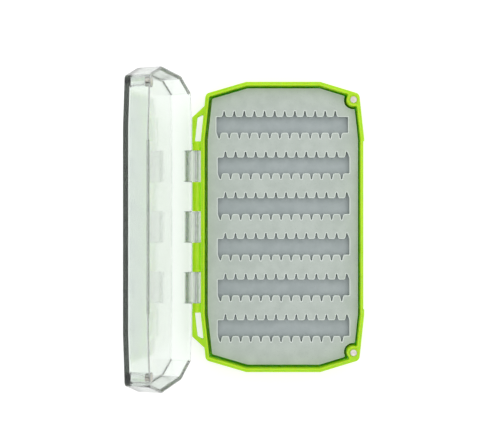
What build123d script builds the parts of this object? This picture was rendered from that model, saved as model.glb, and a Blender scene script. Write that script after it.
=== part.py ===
from build123d import *
import os
from math import cos, hypot, radians, sin

# Fly box: a lime tray and a clear lid on one hinge pin, held shut by two pairs of magnets,
# with a foam insert whose toothed slots grip the hooks of fishing flies.
# Millimetres. +X from the hinge to the thumb side, +Y along the box, +Z up from the underside.
# The lid is drawn closed and then swung open about the hinge to where its stop holds it.

# Case outline: twelve sides, the same for tray and lid
case_length = 178.2
hinge_wall_x = -50.6
thumb_wall_x = 49.7
end_flat = 45.5  # straight part of each short end
side_flat = 108.0  # straight part of each long side
corner_in = 3.0  # a corner stands in from its long side by this
corner_drop = 7.3  # and down from its short end by this
corner_round = 3.2
overrun = 1.0  # cuts run past a face by this, and joined pieces run into each other

# Tray
ledge_z = 15.6  # the lid's rim closes on this ledge
floor_thickness = 2.0
rim_width = 2.3  # ledge and bead together
well_corner = 1.0
bead_width = 1.05
bead_height = 0.6
bead_bevel = 0.35
bead_root = 0.5  # sunk into the ledge
underside_round = 1.8
recess_ends = (-50.6, 52.7)  # the thumb recess, along Y
recess_depth = 0.55
recess_foot = 8.0
recess_slope = 1.0

# Lid
lid_gap = 0.1  # between its rim and the ledge when closed
lid_depth = 14.1
lid_draft = 2  # degrees, on its walls
lid_inset = 0.2
lid_wall = 1.8
lid_face = 2.6
lid_edge_round = 0.8
lid_inner_round = 0.8
lid_inner_corner = 1.4
rabbet_inset = 1.1  # the rim's inner step, which clears the bead
rabbet_height = 0.75
rabbet_corner = 2.2
lip_length = 90.2
lip_y = 2.0
lip_reach = 1.55
lip_thickness = 1.2
lip_hang = 0.5  # the lip hangs below the rim, in front of the thumb recess
lip_clearance = 0.15
lip_corner = 0.8
open_angle = 100.2  # from closed to the stop

# Hinge
hinge_x = -53.35
hinge_z = 13.5
barrel_radius = 2.6
pin_radius = 0.8
running_gap = 0.05  # radial, between the pin and the lid's knuckles
knuckle_length = 18.8
knuckle_pitch = 37.3
knuckle_gap = 0.25  # each side of a lid knuckle
hinge_end_y = 52.6
pin_ends = (-51.0, 52.1)
heel_gap = 0.03  # between the stop heel and the tray's wall with the lid open
heel_length = 2.3
gusset_top = 7.9  # above the axis with the lid closed
gusset_bend = 3.2  # from here its outer side curves in to the wall
gusset_foot = 1.3  # inboard of the axis, where the gusset meets the rim
support_drop = 6.6  # the tray's barrels run out into the wall this far below the axis
web_top = 1.3
web_angle = 20  # below level, where the web's outer face leaves the barrel

# Lanyard loops, one past each end of the hinge: the slot, and the bar round it
loop_slot = [(-54.3, 52.6), (-50.6, 52.6), (-48.95, 69.3), (-52.7, 67.3)]
loop_plan = [(-49.5, 50.0), (-55.95, 50.0), (-55.95, 67.3), (-48.1, 74.6), (-46.5, 74.6)]
loop_z = (10.9, 15.2)
loop_round = 1.0
loop_bevel = 0.4
slot_round = 0.7

# Magnets, at the two corners away from the hinge
magnet_x = 43.2
magnet_y = (78.2, -77.3)
magnet_radius = 2.0
magnet_height = 3.0
magnet_recess = 0.1
magnet_lead = 0.35  # the bevel at the mouth of its pocket
tray_boss_radius = 4.15
lid_boss_radius = 2.9
boss_blend = 0.8

# Foam insert: adhesive film, plain backing and the toothed top sheet
insert_gap = 1.35
insert_shift = (0.45, 0.2)
insert_scoop = 5.4  # radius cut away round each magnet boss
insert_corner = 1.2
film_thickness = 0.3
backing_top = 7.0
sheet_top = 11.0
row_count = 6
row_pitch = 25.15
row_shift = (0.4, 0.2)
slot_length = 81.5
slot_width = 9.8
notch_count = 13
notch_pitch = 6.25
notch_start = 1.7  # from one end of the slot to its first notch
notch_depth = 3.6
notch_mouth = 1.7
notch_tip = 0.7
tooth_bevel = 0.75  # off each corner of a tooth
first_row_shift = -0.8  # the row beside the upper magnet boss stands off from it

closeness = 0.01  # a vertex this near a circle lies on it
rim_z = ledge_z + lid_gap
magnet_spots = [(magnet_x, y) for y in magnet_y]
knuckle_spots = [-knuckle_pitch, 0, knuckle_pitch]
hinge_axis = Axis((hinge_x, 0, hinge_z), (0, 1, 0))


def export(name, shape):
    shape.label = name
    export_step(shape, f"parts/{name}.step")


def mirrored(points):
    return [(x, -y) for x, y in points]


def case_face(inset=0.0, corner=corner_round):
    """Plan of the case, moved in from its outer wall, with its four corners rounded."""
    half_end, half_length, half_side = end_flat / 2, case_length / 2, side_flat / 2
    upper = [
        (hinge_wall_x, half_side),
        (hinge_wall_x + corner_in, half_length - corner_drop),
        (-half_end, half_length),
        (half_end, half_length),
        (thumb_wall_x - corner_in, half_length - corner_drop),
        (thumb_wall_x, half_side),
    ]
    face = make_face(Polyline(*upper, *reversed(mirrored(upper)), close=True))
    if inset:
        face = offset(face, -inset, kind=Kind.INTERSECTION)
    corners = face.vertices().sort_by(lambda v: abs(v.X * v.Y))[-4:]
    return fillet(corners, corner)


def scooped(face, radius, blend):
    """Takes a round bite out of a plan at each magnet, with blended ends."""
    for x, y in magnet_spots:
        face -= Pos(x, y) * Circle(radius)
        ends = [v for v in face.vertices() if abs(hypot(v.X - x, v.Y - y) - radius) < closeness]
        face = fillet(ends, blend)
    return face


def upright(face, low, high, draft=0):
    """A prism on a plan, between two heights."""
    return Pos(0, 0, low) * extrude(face, high - low, taper=draft)


def along_hinge(section, low, high):
    """A prism whose section is given from the hinge axis, as (inboard, up), between two Y."""
    if isinstance(section, list):
        section = make_face(Polyline(*section, close=True))
    plane = Plane((hinge_x, low, hinge_z), x_dir=(1, 0, 0), z_dir=(0, -1, 0))
    return extrude(plane * section, -(high - low))


def hinge_rod(radius, low, high):
    rod = Cylinder(radius, high - low, align=(Align.CENTER, Align.CENTER, Align.MIN))
    return Pos(hinge_x, low, hinge_z) * Rot(-90, 0, 0) * rod


def disc(spot, radius, low, high):
    return upright(Pos(*spot) * Circle(radius), low, high)


def tray_shell():
    """The moulded tray: floor, walls, magnet bosses and the bead inside the ledge."""
    shell = upright(case_face(), 0, ledge_z)
    shell = fillet(shell.edges().group_by(Axis.Z)[0], underside_round)
    well = scooped(case_face(rim_width, well_corner), tray_boss_radius, boss_blend)
    shell -= upright(well, floor_thickness, ledge_z)
    ring = offset(well, bead_width, kind=Kind.INTERSECTION) - well
    bead = upright(ring, ledge_z - bead_root, ledge_z + bead_height)
    bead = chamfer(bead.edges().group_by(Axis.Z)[-1], bead_bevel)
    return shell + bead


def thumb_recess():
    inner = thumb_wall_x - recess_depth
    outer = thumb_wall_x + overrun
    top = ledge_z + overrun
    profile = [
        (inner, recess_foot + recess_slope),
        (inner, top),
        (outer, top),
        (outer, recess_foot),
        (thumb_wall_x, recess_foot),
    ]
    low, high = recess_ends
    section = Plane((0, low, 0), x_dir=(1, 0, 0), z_dir=(0, -1, 0))
    return extrude(section * make_face(Polyline(*profile, close=True)), -(high - low))


def tray_barrels():
    """The tray's share of the hinge: two long barrels and an end knuckle past each of them."""
    inside = hinge_wall_x - hinge_x + overrun
    lean = radians(web_angle)
    web = [
        (-barrel_radius * cos(lean), -barrel_radius * sin(lean)),
        (inside, -support_drop - overrun),
        (inside, web_top),
        (0, web_top),
    ]
    half = knuckle_length / 2 + knuckle_gap
    edges = [-hinge_end_y] + [y + s * half for y in knuckle_spots for s in (-1, 1)] + [hinge_end_y]
    barrels = []
    for low, high in zip(edges[::2], edges[1::2]):
        barrels.append(hinge_rod(barrel_radius, low, high) + along_hinge(web, low, high))
    return barrels


def lanyard_loop(side):
    """A closed bar from the hinge end to the slanted wall, round a slot for a cord."""
    flip = mirrored if side < 0 else list
    bar = make_face(Polyline(*flip(loop_plan), close=True))
    slot = make_face(Polyline(*flip(loop_slot), close=True))
    bar = fillet(bar.vertices().sort_by(Axis.X)[:2], loop_round)
    slot = fillet(slot.vertices(), slot_round)
    loop = upright(bar - slot, *loop_z)
    by_height = loop.edges().group_by(Axis.Z)
    return chamfer(by_height[0] + by_height[-1], loop_bevel)


def tray():
    body = tray_shell() - thumb_recess()
    for side in (-1, 1):
        body += lanyard_loop(side)
    for barrel in tray_barrels():
        body += barrel
    body -= hinge_rod(pin_radius, pin_ends[0], hinge_end_y + overrun)
    for spot in magnet_spots:
        top = ledge_z - magnet_recess
        body -= disc(spot, magnet_radius, top - magnet_height, ledge_z + overrun)
        lead = Cone(magnet_radius, magnet_radius + magnet_lead, magnet_lead)
        body -= Pos(*spot, ledge_z - magnet_lead / 2) * lead
    return body


def lid_knuckle(y):
    """Barrel, gusset up the lid's wall, and the square heel that stops the lid when open."""
    wall = hinge_wall_x + lid_inset - hinge_x + lid_wall / 2
    rim = rim_z - hinge_z
    start, end = (-barrel_radius, gusset_bend), (wall - lid_wall / 2, gusset_top)
    outer = Spline(start, end, tangents=[(0, 1), (0, 1)])
    inner = [
        end,
        (wall, gusset_top),
        (wall, rim),
        (gusset_foot, rim),
        (barrel_radius, 0),
        (-barrel_radius, 0),
        start,
    ]
    gusset = make_face(outer + Polyline(*inner))
    low, high = y - knuckle_length / 2, y + knuckle_length / 2
    knuckle = hinge_rod(barrel_radius, low, high) + along_hinge(gusset, low, high)
    reach = hinge_wall_x - hinge_x - heel_gap
    heel = [(0, 0), (reach, 0), (reach, -heel_length), (0, -heel_length)]
    heel = along_hinge(heel, low, high).rotate(hinge_axis, open_angle)
    return knuckle + heel


def lid_shell():
    """The moulded lid, closed: face, walls and the rim's inner step."""
    plan = case_face(lid_inset, corner_round - lid_inset)
    shell = upright(plan, rim_z, rim_z + lid_depth, lid_draft)
    shell = fillet(shell.edges().group_by(Axis.Z)[-1], lid_edge_round)
    hollow_plan = case_face(lid_inset + lid_wall, lid_inner_corner)
    hollow = upright(hollow_plan, rim_z, rim_z + lid_depth - lid_face, lid_draft)
    hollow = fillet(hollow.edges().group_by(Axis.Z)[-1], lid_inner_round)
    step_plan = case_face(rabbet_inset, rabbet_corner)
    step = upright(step_plan, rim_z - overrun, rim_z + rabbet_height)
    return shell - hollow - step


def thumb_lip():
    """A thin shelf on the lid's free edge that a thumb lifts."""
    root = thumb_wall_x - lid_inset
    low = rim_z - lip_hang
    corner = thumb_wall_x - recess_depth + lip_clearance
    end = root + lip_reach
    y = lip_y - lip_length / 2
    hanging = Box(end - corner, lip_length, lip_hang, align=Align.MIN)
    upper = Box(lip_reach + lid_wall / 2, lip_length, lip_thickness - lip_hang, align=Align.MIN)
    lip = Pos(corner, y, low) * hanging
    lip += Pos(root - lid_wall / 2, y, rim_z) * upper
    return fillet(lip.edges().filter_by(Axis.Z).sort_by(Axis.X)[-2:], lip_corner)


def lid():
    body = lid_shell() + thumb_lip()
    for spot in magnet_spots:
        body += disc(spot, lid_boss_radius, rim_z, rim_z + lid_depth - lid_face / 2)
        body -= disc(spot, magnet_radius, rim_z - overrun, rim_z + magnet_height)
    for y in knuckle_spots:
        body += lid_knuckle(y)
        half = knuckle_length / 2 + overrun
        body -= hinge_rod(pin_radius + running_gap, y - half, y + half)
    return body.rotate(hinge_axis, -open_angle)


def magnet(spot, low):
    return disc(spot, magnet_radius, low, low + magnet_height)


def insert_face():
    """Plan of the foam, which clears the tray's wall and its magnet bosses all round."""
    face = Pos(*insert_shift) * case_face(rim_width + insert_gap, insert_corner)
    return scooped(face, insert_scoop, boss_blend)


def notch(x, y, out):
    """A narrow notch cut into the foam from a slot's edge at y, pointing along out (+1 or -1)."""
    half_tip = notch_tip / 2
    flank = (notch_mouth / 2 - half_tip) / notch_depth  # its slope
    half_neck = half_tip + flank * (notch_depth - tooth_bevel)
    half_mouth = notch_mouth / 2 + tooth_bevel
    half = [
        (half_mouth, -overrun),
        (half_mouth, 0),
        (half_neck, tooth_bevel),
        (half_tip, notch_depth),
    ]
    right = [(x + a, y + out * b) for a, b in half]
    left = [(x - a, y + out * b) for a, b in reversed(half)]
    return make_face(Polyline(*right, *left, close=True))


def slot_face(row):
    """One slot of the insert with its notches, offset half a tooth between the two edges."""
    x = row_shift[0] + (first_row_shift if row == 0 else 0)
    y = row_shift[1] + ((row_count - 1) / 2 - row) * row_pitch
    left, right = x - slot_length / 2, x + slot_length / 2
    face = Pos(x, y) * Rectangle(slot_length, slot_width)
    upper_count = notch_count - 1 if row == 0 else notch_count
    upper_from = right - notch_start - (notch_count - 1) * notch_pitch
    for i in range(notch_count):
        face += notch(left + notch_start + i * notch_pitch, y - slot_width / 2, -1)
    for i in range(upper_count):
        face += notch(upper_from + i * notch_pitch, y + slot_width / 2, 1)
    return face


def insert_sheet():
    plan = insert_face()
    for row in range(row_count):
        plan -= slot_face(row)
    return upright(plan, backing_top, sheet_top)


os.makedirs("parts", exist_ok=True)
film_top = floor_thickness + film_thickness
export("tray", tray())
export("lid", lid())
export("hinge_pin", hinge_rod(pin_radius, *pin_ends))
for name, spot in zip(("upper", "lower"), magnet_spots):
    export(f"tray_magnet_{name}", magnet(spot, ledge_z - magnet_recess - magnet_height))
    export(f"lid_magnet_{name}", magnet(spot, rim_z).rotate(hinge_axis, -open_angle))
export("insert_film", upright(insert_face(), floor_thickness, film_top))
export("insert_backing", upright(insert_face(), film_top, backing_top))
export("insert_sheet", insert_sheet())
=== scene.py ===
# Fly box lying open: a lime tray with toothed foam in it, and a clear lid standing on edge beside it
import bmesh
import bpy
import math
import random
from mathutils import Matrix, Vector


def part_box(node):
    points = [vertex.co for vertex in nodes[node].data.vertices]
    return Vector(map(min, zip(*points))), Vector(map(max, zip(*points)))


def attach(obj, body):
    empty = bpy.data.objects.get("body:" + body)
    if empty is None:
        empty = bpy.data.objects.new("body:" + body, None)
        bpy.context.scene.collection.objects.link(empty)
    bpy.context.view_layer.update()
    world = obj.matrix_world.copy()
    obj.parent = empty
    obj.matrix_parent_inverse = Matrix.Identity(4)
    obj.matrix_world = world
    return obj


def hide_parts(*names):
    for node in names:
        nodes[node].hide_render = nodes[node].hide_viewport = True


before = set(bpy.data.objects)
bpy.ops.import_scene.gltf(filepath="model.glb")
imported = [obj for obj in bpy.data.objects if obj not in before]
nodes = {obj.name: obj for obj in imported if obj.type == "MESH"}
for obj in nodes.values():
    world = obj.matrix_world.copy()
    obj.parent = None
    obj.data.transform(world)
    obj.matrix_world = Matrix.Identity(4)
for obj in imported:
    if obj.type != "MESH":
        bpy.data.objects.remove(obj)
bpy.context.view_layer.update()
mm = 0.001
gridStep = (200, 180)  # of the layout in the node editor
print("frame loaded:", len(nodes), "parts")


def addNode(tree, kind, column, row, **settings):
    node = tree.nodes.new("ShaderNode" + kind)
    node.location = (column * gridStep[0], row * gridStep[1])
    for name, value in settings.items():
        setattr(node, name, value)
    return node


def setInputs(node, values):
    for name, value in values.items():
        node.inputs[name].default_value = value


def newMaterial(name, viewColour):
    material = bpy.data.materials.new(name)
    material.use_nodes = True
    material.diffuse_color = (*viewColour, 1)
    tree = material.node_tree
    tree.nodes.clear()
    return material, tree, addNode(tree, "OutputMaterial", 5, 0)


def newGroup(name, inputs, outputs):
    group = bpy.data.node_groups.new(name, "ShaderNodeTree")
    for socket, value in inputs.items():
        made = group.interface.new_socket(socket, in_out="INPUT", socket_type="NodeSocketFloat")
        made.default_value = value
    for socket, kind in outputs.items():
        group.interface.new_socket(socket, in_out="OUTPUT", socket_type="NodeSocket" + kind)
    groupIn = group.nodes.new("NodeGroupInput")
    groupIn.location = (-5 * gridStep[0], 0)
    groupOut = group.nodes.new("NodeGroupOutput")
    groupOut.location = (6 * gridStep[0], 0)
    return group, groupIn, groupOut


def placeGroup(tree, group, column, row, values):
    node = addNode(tree, "Group", column, row)
    node.node_tree = group
    setInputs(node, values)
    return node


def noiseOf(group, groupIn, sizeSocket, column, row, detail=2.0):  # its size is a group input, in mm
    place = addNode(group, "TexCoord", column - 2, row)
    scale = addNode(group, "Math", column - 1, row - 0.6, operation="DIVIDE")
    scale.inputs[0].default_value = 1 / mm
    group.links.new(groupIn.outputs[sizeSocket], scale.inputs[1])
    noise = addNode(group, "TexNoise", column, row)
    noise.inputs["Detail"].default_value = detail
    group.links.new(place.outputs["Object"], noise.inputs["Vector"])
    group.links.new(scale.outputs[0], noise.inputs["Scale"])
    return noise.outputs["Fac"]


def ranged(tree, value, fromRange, toRange, column, row):  # stretches a value to a range and no further
    node = addNode(tree, "MapRange", column, row)
    setInputs(node, {"From Min": fromRange[0], "From Max": fromRange[1]})
    setInputs(node, {"To Min": toRange[0], "To Max": toRange[1]})
    tree.links.new(value, node.inputs["Value"])
    return node.outputs["Result"]


def calculated(tree, operation, first, second, column, row):
    node = addNode(tree, "Math", column, row, operation=operation)
    for socket, value in zip(node.inputs, (first, second)):
        if isinstance(value, bpy.types.NodeSocket):
            tree.links.new(value, socket)
        else:
            socket.default_value = value
    return node.outputs[0]


def blended(tree, mask, first, second, column, row):  # the second colour where the mask is 1
    node = addNode(tree, "Mix", column, row, data_type="RGBA")
    for socket, value in zip((node.inputs[6], node.inputs[7]), (first, second)):
        if isinstance(value, bpy.types.NodeSocket):
            tree.links.new(value, socket)
        else:
            socket.default_value = (*value, 1)
    tree.links.new(mask, node.inputs[0])
    return node.outputs[2]


def bumped(tree, height, bump, column, row, normal=None):
    strength, depth = bump
    node = addNode(tree, "Bump", column, row)
    setInputs(node, {"Strength": strength, "Distance": depth * mm})
    tree.links.new(height, node.inputs["Height"])
    if normal:
        tree.links.new(normal, node.inputs["Normal"])
    return node.outputs["Normal"]


effects = {
    "flowSpread": (0.3, 0.7),  # the stretch of a noise that goes from none to full
    "patchSpread": (0.45, 0.6),
    "pitSpread": (0.36, 0.3),
    "mottleSpread": (0.35, 0.65),
    "edgeSpread": (0.995, 0.8),  # cosine of the turn from a face to its rounded edge
    "edgeSamples": 4,
}


def makeMouldGrain():  # the faint flow and fine grain of moulded plastic
    inputs = {"Grain Size": 0.4, "Flow Size": 20.0}
    group, groupIn, groupOut = newGroup("mouldGrain", inputs, {"Height": "Float", "Flow": "Float"})
    grain = noiseOf(group, groupIn, "Grain Size", 0, 1)
    flow = noiseOf(group, groupIn, "Flow Size", 0, -1)
    group.links.new(grain, groupOut.inputs["Height"])
    spread = ranged(group, flow, effects["flowSpread"], (0, 1), 2, -1)
    group.links.new(spread, groupOut.inputs["Flow"])
    return group


def makeHairlines():  # thin wandering scratches, 1 on a scratch
    inputs = {"Spacing": 12.0, "Width": 0.006, "Patch Size": 25.0}
    group, groupIn, groupOut = newGroup("hairlines", inputs, {"Mask": "Float"})
    wander = noiseOf(group, groupIn, "Spacing", 0, 1, detail=1.0)
    patches = noiseOf(group, groupIn, "Patch Size", 0, -1)
    offset = calculated(group, "SUBTRACT", wander, 0.5, 1, 1)
    away = calculated(group, "ABSOLUTE", offset, 0, 2, 1)
    near = calculated(group, "DIVIDE", away, groupIn.outputs["Width"], 3, 1)
    line = ranged(group, near, (0, 1), (1, 0), 4, 1)
    patch = ranged(group, patches, effects["patchSpread"], (0, 1), 2, -1)
    group.links.new(calculated(group, "MULTIPLY", line, patch, 5, 0), groupOut.inputs["Mask"])
    return group


def makeSoftEdges():  # rounds edges in the shading, and masks them for a highlight painted on the lime's edges
    outputs = {"Normal": "Vector", "Mask": "Float"}
    group, groupIn, groupOut = newGroup("softEdges", {"Radius": 0.25}, outputs)
    radius = calculated(group, "MULTIPLY", groupIn.outputs["Radius"], mm, -1, 0)
    bevel = addNode(group, "Bevel", 0, 0, samples=effects["edgeSamples"])
    group.links.new(radius, bevel.inputs["Radius"])
    geometry = addNode(group, "NewGeometry", 0, -1)
    match = addNode(group, "VectorMath", 1, -1, operation="DOT_PRODUCT")
    group.links.new(bevel.outputs["Normal"], match.inputs[0])
    group.links.new(geometry.outputs["Normal"], match.inputs[1])
    group.links.new(bevel.outputs["Normal"], groupOut.inputs["Normal"])
    mask = ranged(group, match.outputs["Value"], effects["edgeSpread"], (0, 1), 2, -1)
    group.links.new(mask, groupOut.inputs["Mask"])
    return group


def makeFoamCells():  # closed cells under a thin skin, with broad mottling
    inputs = {"Cell Size": 0.35, "Mottle Size": 9.0}
    outputs = {"Height": "Float", "Pits": "Float", "Mottle": "Float"}
    group, groupIn, groupOut = newGroup("foamCells", inputs, outputs)
    place = addNode(group, "TexCoord", -2, 1)
    scale = calculated(group, "DIVIDE", 1 / mm, groupIn.outputs["Cell Size"], -1, 1)
    cells = addNode(group, "TexVoronoi", 0, 1, feature="SMOOTH_F1")
    group.links.new(place.outputs["Object"], cells.inputs["Vector"])
    group.links.new(scale, cells.inputs["Scale"])
    fine = noiseOf(group, groupIn, "Cell Size", 0, 0, detail=4.0)
    mottle = noiseOf(group, groupIn, "Mottle Size", 0, -1, detail=3.0)
    height = calculated(group, "ADD", cells.outputs["Distance"], fine, 2, 1)
    pits = ranged(group, fine, effects["pitSpread"], (0, 1), 2, 0)
    mottling = ranged(group, mottle, effects["mottleSpread"], (0, 1), 2, -1)
    group.links.new(height, groupOut.inputs["Height"])
    group.links.new(pits, groupOut.inputs["Pits"])
    group.links.new(mottling, groupOut.inputs["Mottle"])
    return group


mouldGrain = makeMouldGrain()
hairlines = makeHairlines()
softEdges = makeSoftEdges()
foamCells = makeFoamCells()
print("shared effects ready")


def dress(node, material):
    nodes[node].data.materials.clear()
    nodes[node].data.materials.append(material)


def placeMarks(tree, values):  # the grain, soft edges and scratches of one material
    grain = placeGroup(tree, mouldGrain, 0, 1, {"Grain Size": values["grain"], "Flow Size": values["flow"]})
    edges = placeGroup(tree, softEdges, 0, 0, {"Radius": values["edge"]})
    lines = {
        "Spacing": values["scratchSpacing"],
        "Patch Size": values["scratchPatch"],
        "Width": values["scratchWidth"],
    }
    scratches = placeGroup(tree, hairlines, 0, -1, lines)
    normal = bumped(tree, grain.outputs["Height"], values["grainBump"], 2, -2, edges.outputs["Normal"])
    return {
        "flow": grain.outputs["Flow"],
        "wearAndPaintedHighlight": edges.outputs["Mask"],
        "scratch": scratches.outputs["Mask"],
        "normal": normal,
    }


def scratchedRoughness(tree, marks, values):
    smooth = ranged(tree, marks["flow"], (0, 1), values["roughness"], 1, 0)
    extra = ranged(tree, marks["scratch"], (0, 1), (0, values["scratchRoughness"]), 1, -1)
    return calculated(tree, "ADD", smooth, extra, 2, 0)


limeTray = {
    "lime": (0.46, 0.76, 0.006),
    "deepLime": (0.40, 0.69, 0.004),
    # painted highlight: the lime's rounded edges are paler, as where they catch the light
    "paintedEdgeHighlight": (0.62, 0.86, 0.06),
    "paintedGapShade": (0.42, 1.0, 0.0),  # painted shade for narrow gaps: a deeper green that stands in for the light reaching them only through the plastic
    "wellReach": 5.0,
    "wellSpread": (0.35, 0.75),  # how open a place is, from a gap to a free face
    "wellSamples": 8,
    "paintedReflectionLime": (0.61, 0.71, 0.58),  # painted reflection: the lime seen mirrored in the lid is given this paler colour
    "mirroredShare": 0.85,
    "bending": 1.5,  # the refractive index
    "gloss": 0.3,
    "roughness": (0.24, 0.36),
    "grain": 0.35,
    "grainBump": (0.12, 0.03),  # strength and depth
    "flow": 14.0,
    "scratchSpacing": 9.0,
    "scratchPatch": 25.0,
    "scratchWidth": 0.005,
    "scratchRoughness": 0.12,
    "edge": 0.3,
    "glow": 0.8,  # how much light soaks into the lime plastic
    "glowDepth": 4.0,
    "glowReach": (0.7, 1.0, 0.15),  # the share of that depth that red, green and blue reach
}


def makeLimePlastic(values):
    material, tree, output = newMaterial("limePlastic", values["lime"])
    marks = placeMarks(tree, values)
    colour = blended(tree, marks["flow"], values["deepLime"], values["lime"], 1, 2)
    # the rounded edges get a painted highlight
    colour = blended(tree, marks["wearAndPaintedHighlight"], colour, values["paintedEdgeHighlight"], 2, 2)
    # narrow, occluded gaps in the lime get a painted shade colour
    gaps = addNode(tree, "AmbientOcclusion", 1, 3, samples=values["wellSamples"])
    gaps.inputs["Distance"].default_value = values["wellReach"] * mm
    shadedGap = ranged(tree, gaps.outputs["AO"], values["wellSpread"], (1, 0), 2, 3)
    colour = blended(tree, shadedGap, colour, values["paintedGapShade"], 3, 2)
    # painted reflection: glossy rays see the lime paler
    rays = addNode(tree, "LightPath", 2, 5)
    mirrored = calculated(tree, "MULTIPLY", rays.outputs["Is Glossy Ray"], values["mirroredShare"], 3, 4)
    colour = blended(tree, mirrored, colour, values["paintedReflectionLime"], 4, 2)
    plastic = addNode(tree, "BsdfPrincipled", 4, 0)
    setInputs(plastic, {"IOR": values["bending"], "Specular IOR Level": values["gloss"]})
    setInputs(plastic, {"Subsurface Weight": values["glow"], "Subsurface Radius": values["glowReach"]})
    setInputs(plastic, {"Subsurface Scale": values["glowDepth"] * mm})
    tree.links.new(colour, plastic.inputs["Base Color"])
    tree.links.new(scratchedRoughness(tree, marks, values), plastic.inputs["Roughness"])
    tree.links.new(marks["normal"], plastic.inputs["Normal"])
    tree.links.new(plastic.outputs["BSDF"], output.inputs["Surface"])
    return material


dress("tray", makeLimePlastic(limeTray))
print("tray dressed")

clearLid = {
    "tint": (0.965, 1.0, 0.975),
    "shadeTint": (0.93, 0.96, 0.94),  # what lamps see through one surface
    "bending": 1.5,  # the refractive index
    "roughness": (0.06, 0.09),
    "body": (0.583, 0.603, 0.587),
    "bodyDensity": 66.0,
    "grain": 6.0,
    "grainBump": (0.05, 0.05),  # the faint ripple of a large moulding
    "flow": 30.0,
    "scratchSpacing": 16.0,
    "scratchPatch": 25.0,
    "scratchWidth": 0.004,
    "scratchRoughness": 0.08,
    "edge": 1.2,  # wide, because the lid's corners look soft
    "hingeAxis": (-53.35, 0, 13.5),
    "wallReach": 2.7,  # from the hinge axis to the wall's outer side
    "satin": 0.45,  # outside the wall, because the knuckles were left unpolished
    "slant": (0.75, 0.92),  # 0 faces the eye, 1 is edge on
    "slantHaze": 0.1,  # plastic seen at a slant looks less clear
    "openAngle": 100.2,
    "rimHeight": 2.2,  # above the hinge axis with the lid closed
    "thumbHalf": 30.0,  # from the hinge axis to where the thumb's half of the lid starts
    "maskBlur": 0.15,
    "paintedLipShade": (0.3, 0.34, 0.3),  # painted shade, a dark line on the part of the lip that hangs below the rim, on the thumb's half of the lid
}


def alongLid(tree, direction, hinge, row):  # a point's distance from the hinge axis, along a direction
    place = addNode(tree, "TexCoord", -2, row)
    away = addNode(tree, "VectorMath", -1, row, operation="SUBTRACT")
    away.inputs[1].default_value = Vector(hinge) * mm
    tree.links.new(place.outputs["Object"], away.inputs[0])
    reach = addNode(tree, "VectorMath", 0, row, operation="DOT_PRODUCT")
    reach.inputs[1].default_value = direction
    tree.links.new(away.outputs["Vector"], reach.inputs[0])
    return reach.outputs["Value"]


def lidMasks(tree, values):  # how satin a point is, and whether it is on the hanging part of the lip, where shade is painted
    angle = math.radians(values["openAngle"])
    lidUp = Vector((-math.sin(angle), 0, math.cos(angle)))
    lidOut = Vector((-math.cos(angle), 0, -math.sin(angle)))  # away from the thumb side
    height = alongLid(tree, lidUp, values["hingeAxis"], 3)
    outward = alongLid(tree, lidOut, values["hingeAxis"], 4)
    names = ("wallReach", "rimHeight", "thumbHalf", "maskBlur")
    wall, rim, thumb, soft = (values[name] * mm for name in names)
    satin = ranged(tree, outward, (-wall, soft - wall), (0, values["satin"]), 1, 4)
    hanging = ranged(tree, height, (rim - soft / 2, rim - soft), (0, 1), 1, 3)
    thumbHalf = ranged(tree, outward, (-thumb, -thumb - soft), (0, 1), 1, 5)
    return satin, calculated(tree, "MULTIPLY", hanging, thumbHalf, 2, 4)


def makeClearPlastic(values):
    material, tree, output = newMaterial("clearPlastic", values["tint"])
    marks = placeMarks(tree, values)
    satin, lipShadeMask = lidMasks(tree, values)
    # the hanging lip gets a painted shade
    colour = blended(tree, lipShadeMask, values["tint"], values["paintedLipShade"], 3, 4)
    facing = addNode(tree, "LayerWeight", 0, 2)
    haze = ranged(tree, facing.outputs["Facing"], values["slant"], (0, values["slantHaze"]), 1, 2)
    roughness = calculated(tree, "ADD", scratchedRoughness(tree, marks, values), satin, 2, 1)
    roughness = calculated(tree, "ADD", roughness, haze, 2, 2)
    plastic = addNode(tree, "BsdfPrincipled", 3, 1)
    setInputs(plastic, {"IOR": values["bending"], "Transmission Weight": 1.0})
    tree.links.new(colour, plastic.inputs["Base Color"])
    tree.links.new(roughness, plastic.inputs["Roughness"])
    tree.links.new(marks["normal"], plastic.inputs["Normal"])
    passing = addNode(tree, "BsdfTransparent", 3, -1)
    setInputs(passing, {"Color": (*values["shadeTint"], 1)})
    rays = addNode(tree, "LightPath", 2, 3)
    shadow, diffuse = rays.outputs["Is Shadow Ray"], rays.outputs["Is Diffuse Ray"]
    lampRays = calculated(tree, "MAXIMUM", shadow, diffuse, 3, 3)
    surface = addNode(tree, "MixShader", 4, 0)
    tree.links.new(lampRays, surface.inputs["Fac"])
    tree.links.new(plastic.outputs["BSDF"], surface.inputs[1])
    tree.links.new(passing.outputs["BSDF"], surface.inputs[2])
    tree.links.new(surface.outputs["Shader"], output.inputs["Surface"])
    body = addNode(tree, "VolumeAbsorption", 4, -1)
    setInputs(body, {"Color": (*values["body"], 1), "Density": values["bodyDensity"]})
    tree.links.new(body.outputs["Volume"], output.inputs["Volume"])
    return material


dress("lid", makeClearPlastic(clearLid))
print("lid dressed")

metalWear = {
    "grain": 0.15,
    "grainBump": (0.1, 0.01),
    "flow": 2.0,
    "scratchSpacing": 1.6,
    "scratchPatch": 3.0,
    "scratchWidth": 0.02,
    "dulled": 0.82,  # what is left of the colour where it is worn
}
magnetPlating = {
    **metalWear,
    "colour": (0.52, 0.49, 0.45),
    "roughness": (0.16, 0.3),
    "edge": 0.2,
}
hingeWire = {
    **metalWear,
    "colour": (0.72, 0.71, 0.69),
    "roughness": (0.32, 0.45),
    "edge": 0.1,
}


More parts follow.
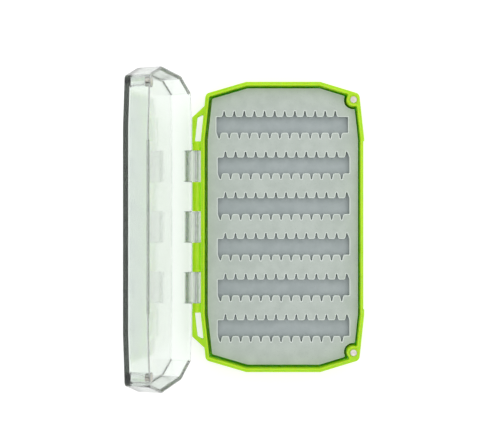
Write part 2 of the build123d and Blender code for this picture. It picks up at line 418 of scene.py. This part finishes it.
def makeMetal(name, values):
    material, tree, output = newMaterial(name, values["colour"])
    marks = placeMarks(tree, values)
    wearAndPaintedHighlight = calculated(tree, "MAXIMUM", marks["flow"], marks["scratch"], 1, 0)
    dull = tuple(values["dulled"] * part for part in values["colour"])
    metal = addNode(tree, "BsdfPrincipled", 4, 0)
    metal.inputs["Metallic"].default_value = 1.0
    tree.links.new(blended(tree, wearAndPaintedHighlight, values["colour"], dull, 2, 2), metal.inputs["Base Color"])
    tree.links.new(ranged(tree, wearAndPaintedHighlight, (0, 1), values["roughness"], 2, 0), metal.inputs["Roughness"])
    tree.links.new(marks["normal"], metal.inputs["Normal"])
    tree.links.new(metal.outputs["BSDF"], output.inputs["Surface"])
    return material


nickelPlate = makeMetal("nickelPlate", magnetPlating)
for body in ("tray", "lid"):
    for end in ("upper", "lower"):
        dress(f"{body}_magnet_{end}", nickelPlate)
dress("hinge_pin", makeMetal("steelWire", hingeWire))
print("magnets and pin dressed")

film = {
    "backing": (0.72, 0.72, 0.68),
    "wetOut": (0.6, 0.6, 0.56),
    "roughness": (0.45, 0.65),
    "grain": 0.8,
    "grainBump": (0.2, 0.05),
    "flow": 5.0,
}


def makeAdhesiveFilm(values):
    material, tree, output = newMaterial("adhesiveFilm", values["backing"])
    grain = placeGroup(tree, mouldGrain, 0, 0, {"Grain Size": values["grain"], "Flow Size": values["flow"]})
    layer = addNode(tree, "BsdfPrincipled", 3, 0)
    colour = blended(tree, grain.outputs["Flow"], values["backing"], values["wetOut"], 1, 1)
    roughness = ranged(tree, grain.outputs["Flow"], (0, 1), values["roughness"], 1, 0)
    tree.links.new(colour, layer.inputs["Base Color"])
    tree.links.new(roughness, layer.inputs["Roughness"])
    normal = bumped(tree, grain.outputs["Height"], values["grainBump"], 1, -1)
    tree.links.new(normal, layer.inputs["Normal"])
    tree.links.new(layer.outputs["BSDF"], output.inputs["Surface"])
    return material


dress("insert_film", makeAdhesiveFilm(film))

foamSheet = {
    "skin": (0.505, 0.556, 0.517),
    "skinShade": (0.46, 0.51, 0.472),
    # painted highlight on the rolled cut edges
    "paintedCutHighlight": (0.74, 0.79, 0.76),
    # the colour of the cells' pits, and also painted shade at the foot of the cut walls
    "pitsAndFootShade": (0.3, 0.36, 0.32),
    "rounding": 0.3,  # the cut edge rolls over by this
    "rimBand": 0.3,  # painted highlight, a pale line inside the rolled edge
    "outerRim": 0.35,  # the outline's painted highlight is this much as pale as a slot's
    "rows": 6,
    "rowPitch": 25.15,
    "rowShift": (0.4, 0.2),
    "slot": (81.5, 9.8),
    "notches": 13,
    "notchPitch": 6.25,
    "firstNotch": 1.7,
    "notchDepth": 3.6,
    "notchMouth": 2.0,
    "notchTip": 0.6,
    "toothSoftness": (0.9, 1.8),  # taken off each corner of a tooth, along its top and its side
    "tipSoftness": 0.25,
    "endSoftness": 0.5,  # of the slot's own corners
    "firstRowShift": -0.8,  # the row beside the upper magnet stands off from it
    "wander": 0.07,  # no two teeth are cut quite alike
    "depthWander": (-2, 1),  # times the wander: a notch is cut short more often than deep
}
foamBacking = {
    "skin": (0.425, 0.47, 0.475),
    "skinShade": (0.385, 0.43, 0.435),
    # painted highlight on the rolled cut edges
    "paintedCutHighlight": (0.44, 0.485, 0.49),
    # the colour of the cells' pits, and also painted shade at the foot of the cut walls
    "pitsAndFootShade": (0.28, 0.32, 0.33),
    "rounding": 0.25,
    "rimBand": 0.3,
    "outerRim": 1.0,
}
foamLook = {
    "cell": 0.32,
    "cellBump": (0.25, 0.06),
    "mottle": 7.0,
    "roughness": (0.78, 0.9),
    "gloss": 0.3,
    "sheen": 0.15,
    "sheenRoughness": 0.5,
}


def makeFoam(name, values, look):
    material, tree, output = newMaterial(name, values["skin"])
    cells = placeGroup(tree, foamCells, -1, 0, {"Cell Size": look["cell"], "Mottle Size": look["mottle"]})
    rim = addNode(tree, "Attribute", -1, 2, attribute_name="rim")
    colour = blended(tree, cells.outputs["Mottle"], values["skin"], values["skinShade"], 0, 1)
    colour = blended(tree, cells.outputs["Pits"], colour, values["pitsAndFootShade"], 1, 1)
    # the rolled cut edges get a painted highlight
    colour = blended(tree, rim.outputs["Fac"], colour, values["paintedCutHighlight"], 2, 1)
    # the foot of the cut walls gets painted shade
    deep = calculated(tree, "MULTIPLY", rim.outputs["Fac"], -1, 2, 2)
    colour = blended(tree, deep, colour, values["pitsAndFootShade"], 3, 1)
    foam = addNode(tree, "BsdfPrincipled", 4, 0)
    setInputs(foam, {"Sheen Weight": look["sheen"], "Sheen Roughness": look["sheenRoughness"]})
    setInputs(foam, {"Specular IOR Level": look["gloss"]})
    roughness = ranged(tree, cells.outputs["Mottle"], (0, 1), look["roughness"], 2, 0)
    tree.links.new(colour, foam.inputs["Base Color"])
    tree.links.new(roughness, foam.inputs["Roughness"])
    tree.links.new(bumped(tree, cells.outputs["Height"], look["cellBump"], 2, -1), foam.inputs["Normal"])
    tree.links.new(foam.outputs["BSDF"], output.inputs["Surface"])
    return material


def softLoop(corners, steps=5):  # each corner (x, y, taken off before, taken off after) becomes a curve
    points = []
    for i, (x, y, cutBefore, cutAfter) in enumerate(corners):
        corner = Vector((x, y))
        before = corner + (Vector(corners[i - 1][:2]) - corner).normalized() * cutBefore
        after = corner + (Vector(corners[(i + 1) % len(corners)][:2]) - corner).normalized() * cutAfter
        for t in (k / steps for k in range(steps + 1)):
            points.append(before * (1 - t) ** 2 + corner * 2 * t * (1 - t) + after * t ** 2)
    return points


def notchCorners(x, y, out, values):  # one notch of the slot's edge, on the side that out gives
    mouth = -out * values["notchMouth"] / 2
    tip = -out * (values["notchTip"] / 2 + random.uniform(0, values["wander"]))
    deep = y + out * (values["notchDepth"] + random.uniform(*values["depthWander"]) * values["wander"])
    x += random.uniform(-1, 1) * values["wander"]
    top, side = values["toothSoftness"]
    soft = values["tipSoftness"]
    ins, outs = (x - mouth, y, top, side), (x + mouth, y, side, top)
    return [ins, (x - tip, deep, soft, soft), (x + tip, deep, soft, soft), outs]


def slotLoop(row, values):
    length, width = values["slot"]
    across, along = values["rowShift"]
    if row == 0:
        across += values["firstRowShift"]
    left, right = across - length / 2, across + length / 2
    middle = along + ((values["rows"] - 1) / 2 - row) * values["rowPitch"]
    low, high = middle - width / 2, middle + width / 2
    corners = []
    firstHigh = 1 if row == 0 else 0  # the row beside the upper magnet has one notch less
    for x, y, out, first in ((left, low, -1, 0), (right, high, 1, firstHigh)):
        corners.append((x, y, values["endSoftness"], values["endSoftness"]))
        for i in range(first, values["notches"]):
            away = values["firstNotch"] + i * values["notchPitch"]
            notch = notchCorners(x - out * away, y, out, values)
            corners += notch if i else notch[1:]  # the first one opens into the slot's end
        corners.append((-x + 2 * across, y, values["endSoftness"], values["endSoftness"]))
    return softLoop(corners)[::-1]  # foam on the left


levelEnough = 0.99  # the upward share of a level face's normal
closeEnough = 0.01 * mm


def outlineOf(node):  # the outline of a flat part's top face, in mm, as one loop
    mesh = nodes[node].data
    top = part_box(node)[1].z
    sides = {}
    for face in mesh.polygons:
        spots = [tuple(round(c, 6) for c in mesh.vertices[v].co) for v in face.vertices]
        if face.normal.z > levelEnough and max(abs(z - top) for x, y, z in spots) < closeEnough:
            for a, b in zip(spots, spots[1:] + spots[:1]):
                sides[(a, b)] = None
    onward = {a: b for a, b in sides if (b, a) not in sides}  # sides that only one face has
    loop = [next(iter(onward))]
    while onward[loop[-1]] != loop[0]:
        loop.append(onward[loop[-1]])
    return [Vector((x / mm, y / mm)) for x, y, z in loop]


def inward(loop, distance):  # moves a loop to its left, which is into the foam
    moved = []
    for i, point in enumerate(loop):
        before = (point - loop[i - 1]).normalized()
        after = (loop[(i + 1) % len(loop)] - point).normalized()
        out = Vector((-before.y - after.y, before.x + after.x))
        moved.append(point + out * distance / (1 + before.dot(after)))
    return moved


rollSteps = 4
rollStart = 0.3  # the share of the rim's painted highlight where the roll starts
creaseAngle = 40


def slabRings(low, high, values):  # how far in, how high, and the share of the rim's painted highlight, or below 0 the share of painted shade at the foot of a cut wall
    roll = values["rounding"]
    # the foot of each wall is fully in painted shade
    rings = [(0, low, -1)]
    for k in range(rollSteps + 1):
        angle = math.pi / 2 * k / rollSteps
        reach, height = roll * (1 - math.cos(angle)), high - roll + roll * math.sin(angle)
        rings.append((reach, height, 1 if k else rollStart))
    return rings + [(roll + values["rimBand"], high, 0)]


def foamSlab(name, node, holes, values, material):  # a slab with rolled edges, in a node's place
    low, high = (corner.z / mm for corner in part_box(node))
    rings = slabRings(low, high, values)
    shape = bmesh.new()
    rim = shape.verts.layers.float.new("rim")
    caps = {0: [], len(rings) - 1: []}
    for loop in [outlineOf(node), *holes]:
        paleness = 1 if loop in holes else values["outerRim"]
        below = None
        for k, (reach, height, share) in enumerate(rings):
            row = [shape.verts.new((x * mm, y * mm, height * mm)) for x, y in inward(loop, reach)]
            for vert in row:
                vert[rim] = share * paleness
            for i in range(len(row)) if below else ():
                j = (i + 1) % len(row)
                shape.faces.new((below[i], below[j], row[j], row[i]))
            if k in caps:
                caps[k] += [(row[i], row[(i + 1) % len(row)]) for i in range(len(row))]
            below = row
    for k, sides in caps.items():
        edges = [shape.edges.get(side) or shape.edges.new(side) for side in sides]
        bmesh.ops.triangle_fill(shape, edges=edges, use_beauty=True, normal=(0, 0, 1 if k else -1))
    bmesh.ops.recalc_face_normals(shape, faces=shape.faces)
    mesh = bpy.data.meshes.new(name)
    shape.to_mesh(mesh)
    shape.free()
    mesh.shade_smooth()
    mesh.set_sharp_from_angle(angle=math.radians(creaseAngle))
    mesh.materials.append(material)
    slab = bpy.data.objects.new(name, mesh)
    bpy.context.scene.collection.objects.link(slab)
    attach(slab, "tray_body")
    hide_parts(node)
    return slab


random.seed(12)
slots = [slotLoop(row, foamSheet) for row in range(foamSheet["rows"])]
sheetFoam = makeFoam("sheetFoam", foamSheet, foamLook)
sheet = foamSlab("foam_sheet", "insert_sheet", slots, foamSheet, sheetFoam)
backingFoam = makeFoam("backingFoam", foamBacking, foamLook)
backing = foamSlab("foam_backing", "insert_backing", [], foamBacking, backingFoam)
print("foam cut:", len(sheet.data.polygons), "faces in the sheet")

view = {
    "place": (-25.0, 13.3, 650.6),
    "lens": 74.5,
    "shift": (0.015, -0.0254),
    "mirrorBounces": 12,  # light is trapped in the lid's walls for longer than the default allows
    "glassBounces": 16,
}
studio = {
    "floorColour": (0.6, 0.6, 0.6),
    "floorLift": 0.55,
    "floorSize": 6000,
    "floorDrop": 0.05,  # below the box, so that the two don't flicker
    "worldLight": 0.86,
    "key": {"place": (0, 600, 600), "size": (800, 500), "watts": 1.1},
    "top": {"place": (420, -80, 1100), "size": (700, 900), "watts": 1.5},
}


def seenRays(tree, column, row):  # 1 for what is seen straight, mirrored or through glass
    rays = addNode(tree, "LightPath", column, row)
    straight, mirrored = rays.outputs["Is Camera Ray"], rays.outputs["Is Glossy Ray"]
    seen = calculated(tree, "MAXIMUM", straight, mirrored, column + 1, row)
    return calculated(tree, "MAXIMUM", seen, rays.outputs["Is Transmission Ray"], column + 2, row)


def makeFloor(values):
    material, tree, output = newMaterial("paleFloor", values["floorColour"])
    paper = addNode(tree, "BsdfDiffuse", 3, 1)
    paper.inputs["Color"].default_value = (*values["floorColour"], 1)
    lift = addNode(tree, "Emission", 3, -1)
    strength = calculated(tree, "MULTIPLY", seenRays(tree, 0, -1), values["floorLift"], 2, -2)
    tree.links.new(strength, lift.inputs["Strength"])
    both = addNode(tree, "AddShader", 4, 0)
    tree.links.new(paper.outputs["BSDF"], both.inputs[0])
    tree.links.new(lift.outputs["Emission"], both.inputs[1])
    tree.links.new(both.outputs["Shader"], output.inputs["Surface"])
    height = -values["floorDrop"] * mm
    bpy.ops.mesh.primitive_plane_add(size=values["floorSize"] * mm, location=(0, 0, height))
    floor = bpy.context.object
    floor.name = "floor"
    floor.data.materials.append(material)


def makeWorld(values):
    world = bpy.data.worlds.new("studio")
    world.use_nodes = True
    bpy.context.scene.world = world
    tree = world.node_tree
    sky = tree.nodes["Background"]
    strength = ranged(tree, seenRays(tree, -3, 0), (0, 1), (values["worldLight"], 1.0), 0, 0)
    tree.links.new(strength, sky.inputs["Strength"])
    sky.inputs["Color"].default_value = (1, 1, 1, 1)


def makeLamp(name, values):
    lamp = bpy.data.lights.new(name, "AREA")
    lamp.shape = "RECTANGLE"
    lamp.size, lamp.size_y = (side * mm for side in values["size"])
    lamp.energy = values["watts"]
    holder = bpy.data.objects.new(name, lamp)
    bpy.context.scene.collection.objects.link(holder)
    holder.location = Vector(values["place"]) * mm
    holder.rotation_euler = (-holder.location).to_track_quat("-Z", "Y").to_euler()


def makeCamera(values):
    camera = bpy.data.cameras.new("view")
    camera.lens = values["lens"]
    camera.shift_x, camera.shift_y = values["shift"]
    holder = bpy.data.objects.new("view", camera)
    bpy.context.scene.collection.objects.link(holder)
    holder.location = Vector(values["place"]) * mm
    scene = bpy.context.scene
    scene.camera = holder
    scene.cycles.glossy_bounces = values["mirrorBounces"]
    scene.cycles.transmission_bounces = values["glassBounces"]
    scene.cycles.max_bounces = values["glassBounces"]


makeFloor(studio)
makeWorld(studio)
makeLamp("keySoftbox", studio["key"])
makeLamp("topSoftbox", studio["top"])
makeCamera(view)
bpy.context.scene.view_settings.view_transform = "Standard"
print("studio lit")
